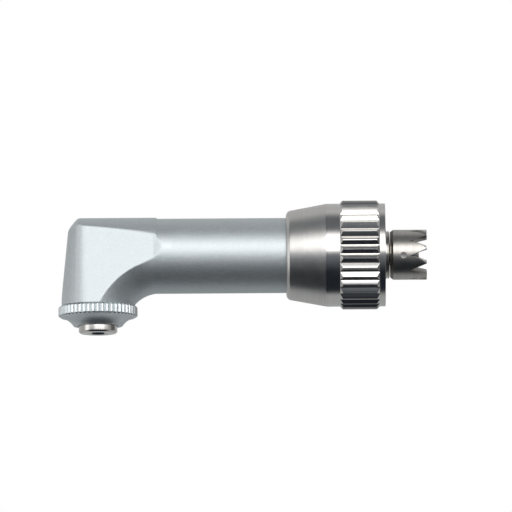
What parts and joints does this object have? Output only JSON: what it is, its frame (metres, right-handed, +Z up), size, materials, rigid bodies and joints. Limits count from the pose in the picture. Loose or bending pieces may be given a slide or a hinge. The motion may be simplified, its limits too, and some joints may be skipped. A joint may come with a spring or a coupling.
{
  "type": "contra angle handpiece head attachment",
  "caption": "Right-angle dental head with a tapped spindle, a straight neck, a captive ridged coupling nut and a toothed crown that takes the drive.",
  "frame": {"origin": "seat for the handpiece's sheath: centre of the neck collar's rear face, on the drive axis", "axes": "+X along the drive axis towards the rear, +Z up with the spindle's nose pointing to -Z, +Y across the head"},
  "size_m": [0.0369, 0.0108, 0.0131],
  "materials": {
    "satin_head_alloy": "fine bead-blasted satin",
    "satin_cap_alloy": "satin with bright cut ribs",
    "nickel_plated_nut": "bright nickel with turned marks",
    "polished_spindle": "polished",
    "gear_steel": "machined",
    "ground_steel": "ground",
    "bearing_steel": "polished",
    "cage_plastic": "phenolic, matt",
    "black_seal_rubber": "matt"
  },
  "bodies": {
    "head_and_neck": {"head_housing": "satin_head_alloy", "neck_collar": "gear_steel", "collar_index_pin": "ground_steel", "rear_retainer": "ground_steel", "rear_spring_washer": "ground_steel", "bearing_spacer_sleeve": "ground_steel", "head_cap": "satin_cap_alloy", "cap_o_ring": "black_seal_rubber", "spindle_seal": "black_seal_rubber", "upper_preload_washer": "ground_steel", "rear_shaft_seal": "black_seal_rubber", "upper_bearing_outer_ring": "bearing_steel", "lower_bearing_outer_ring": "bearing_steel", "front_bearing_outer_ring": "bearing_steel", "rear_bearing_outer_ring": "bearing_steel"},
    "drive_shaft_group": {"drive_shaft": "ground_steel", "shaft_pinion": "gear_steel", "crown_clutch_gear": "gear_steel", "crown_gear_pin": "ground_steel", "front_bearing_inner_ring": "bearing_steel", "rear_bearing_inner_ring": "bearing_steel"},
    "spindle_group": {"spindle": "polished_spindle", "spindle_gear": "gear_steel", "upper_bearing_inner_ring": "bearing_steel", "lower_bearing_inner_ring": "bearing_steel"},
    "nut_slider": {"nut_o_ring": "black_seal_rubber"},
    "nut": {"coupling_nut": "nickel_plated_nut"},
    "upper_ball_cage": {"upper_bearing_cage": "cage_plastic", "upper_bearing_ball_1": "bearing_steel", "upper_bearing_ball_2": "bearing_steel", "upper_bearing_ball_3": "bearing_steel", "upper_bearing_ball_4": "bearing_steel", "upper_bearing_ball_5": "bearing_steel", "upper_bearing_ball_6": "bearing_steel"},
    "lower_ball_cage": {"lower_bearing_cage": "cage_plastic", "lower_bearing_ball_1": "bearing_steel", "lower_bearing_ball_2": "bearing_steel", "lower_bearing_ball_3": "bearing_steel", "lower_bearing_ball_4": "bearing_steel", "lower_bearing_ball_5": "bearing_steel", "lower_bearing_ball_6": "bearing_steel", "lower_bearing_ball_7": "bearing_steel"},
    "front_ball_cage": {"front_bearing_cage": "cage_plastic", "front_bearing_ball_1": "bearing_steel", "front_bearing_ball_2": "bearing_steel", "front_bearing_ball_3": "bearing_steel", "front_bearing_ball_4": "bearing_steel", "front_bearing_ball_5": "bearing_steel", "front_bearing_ball_6": "bearing_steel", "front_bearing_ball_7": "bearing_steel"},
    "rear_ball_cage": {"rear_bearing_cage": "cage_plastic", "rear_bearing_ball_1": "bearing_steel", "rear_bearing_ball_2": "bearing_steel", "rear_bearing_ball_3": "bearing_steel", "rear_bearing_ball_4": "bearing_steel", "rear_bearing_ball_5": "bearing_steel", "rear_bearing_ball_6": "bearing_steel", "rear_bearing_ball_7": "bearing_steel"}
  },
  "joints": [
    {"name": "shaft_spin", "type": "hinge", "parent": "head_and_neck", "child": "drive_shaft_group", "pos_m": [-0.0246, 0, 0], "axis": [1, 0, 0], "continuous": true},
    {"name": "spindle_spin", "type": "hinge", "parent": "head_and_neck", "child": "spindle_group", "pos_m": [-0.0246, 0, 0], "axis": [0, 0, 1], "continuous": true},
    {"name": "nut_slide", "type": "slide", "parent": "head_and_neck", "child": "nut_slider", "axis": [-1, 0, 0], "range_m": [0, 0.012]},
    {"name": "nut_spin", "type": "hinge", "parent": "nut_slider", "child": "nut", "pos_m": [0, 0, 0], "axis": [1, 0, 0], "continuous": true},
    {"name": "upper_cage_spin", "type": "hinge", "parent": "head_and_neck", "child": "upper_ball_cage", "pos_m": [-0.0246, 0, 0], "axis": [0, 0, 1], "continuous": true},
    {"name": "lower_cage_spin", "type": "hinge", "parent": "head_and_neck", "child": "lower_ball_cage", "pos_m": [-0.0246, 0, 0], "axis": [0, 0, 1], "continuous": true},
    {"name": "front_cage_spin", "type": "hinge", "parent": "head_and_neck", "child": "front_ball_cage", "pos_m": [-0.0246, 0, 0], "axis": [1, 0, 0], "continuous": true},
    {"name": "rear_cage_spin", "type": "hinge", "parent": "head_and_neck", "child": "rear_ball_cage", "pos_m": [-0.0246, 0, 0], "axis": [1, 0, 0], "continuous": true}
  ],
  "couplings": [
    {"joint": "spindle_spin", "follows": "shaft_spin", "ratio": 1},
    {"joint": "upper_cage_spin", "follows": "shaft_spin", "ratio": 0.39},
    {"joint": "lower_cage_spin", "follows": "shaft_spin", "ratio": 0.4125},
    {"joint": "front_cage_spin", "follows": "shaft_spin", "ratio": 0.3857},
    {"joint": "rear_cage_spin", "follows": "shaft_spin", "ratio": 0.3824}
  ]
}
